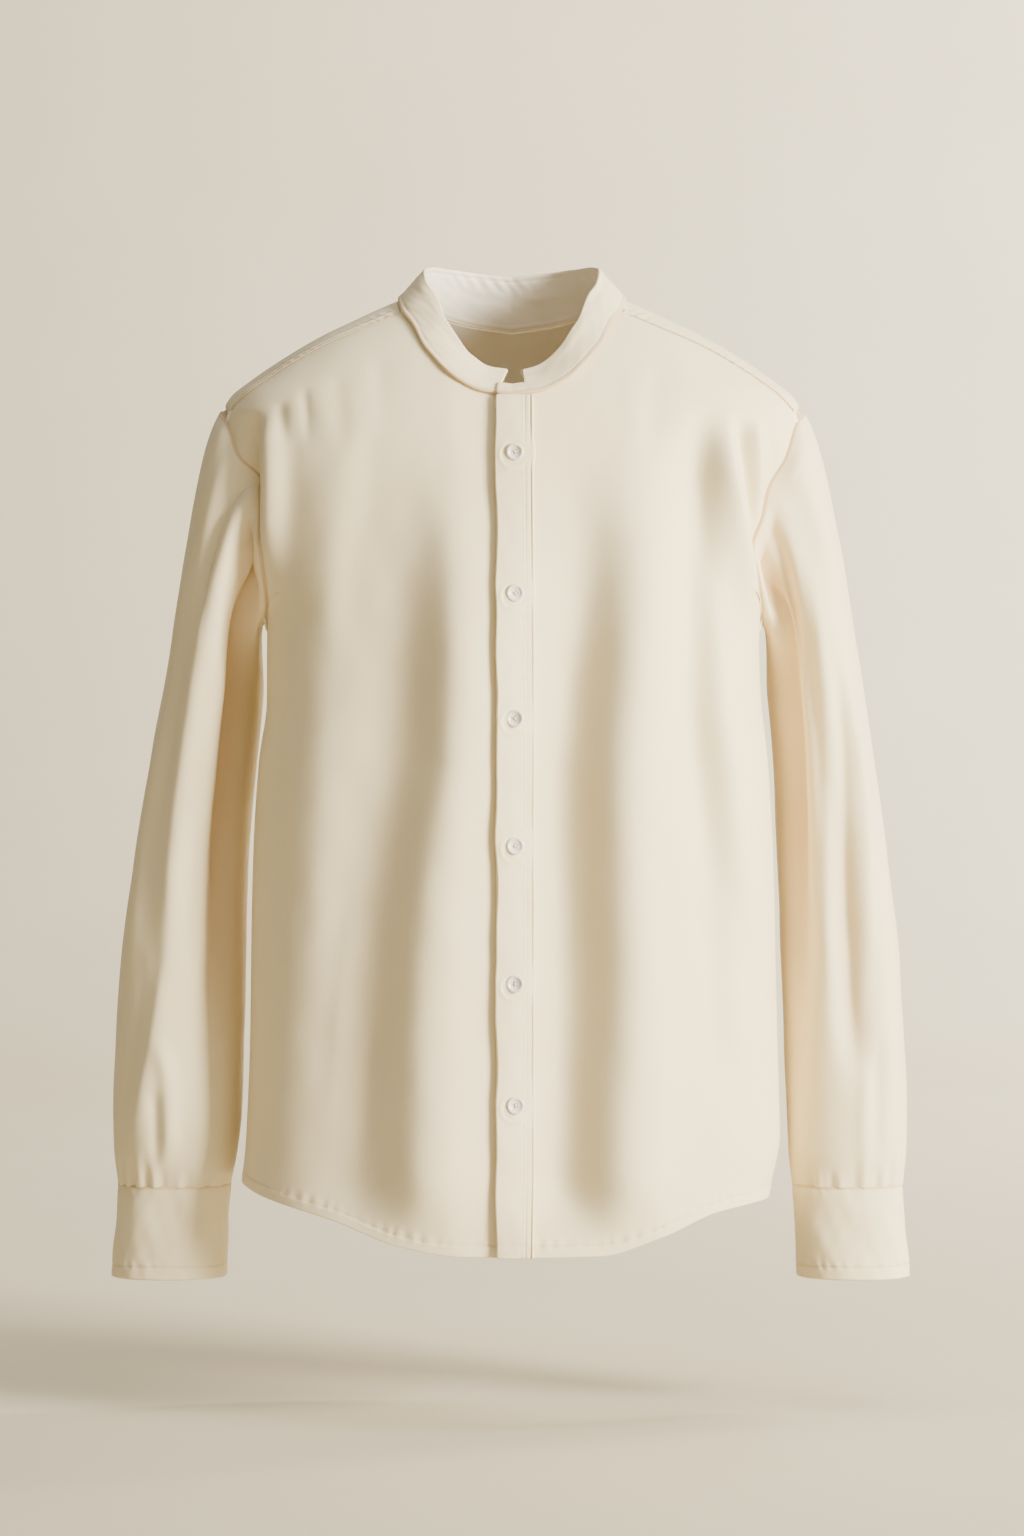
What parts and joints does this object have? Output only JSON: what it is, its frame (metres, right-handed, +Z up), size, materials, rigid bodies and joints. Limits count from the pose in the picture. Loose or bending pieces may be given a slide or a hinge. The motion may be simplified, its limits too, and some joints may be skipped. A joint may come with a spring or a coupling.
{
  "type": "mandarin collar shirt, worn form with no wearer",
  "caption": "Ivory long-sleeved shirt with a standing mandarin collar, front button placket, forward yoke seams, curved hem and buttoned cuffs, in its worn form.",
  "frame": {"origin": "middle of the neck opening, at the height where the shoulders meet the neck, where the wearer carries the shirt", "axes": "+Z up, +X towards the wearer's left sleeve, the front faces -Y"},
  "size_m": [0.6221, 0.2459, 0.7882],
  "materials": {
    "cloth": "fine brushed cotton, ivory, soft matt sheen",
    "button": "pearly off-white, glossy"
  },
  "bodies": {
    "root": {"front_left": "cloth", "front_right": "cloth", "back": "cloth", "yoke": "cloth", "placket": "cloth", "collar_band": "cloth", "sleeve_left": "cloth", "sleeve_right": "cloth", "cuff_left": "cloth", "cuff_right": "cloth", "sleeve_placket_left": "cloth", "sleeve_placket_right": "cloth", "button_1": "button", "button_2": "button", "button_3": "button", "button_4": "button", "button_5": "button", "button_6": "button", "cuff_button_left": "button", "cuff_button_right": "button"}
  },
  "joints": []
}
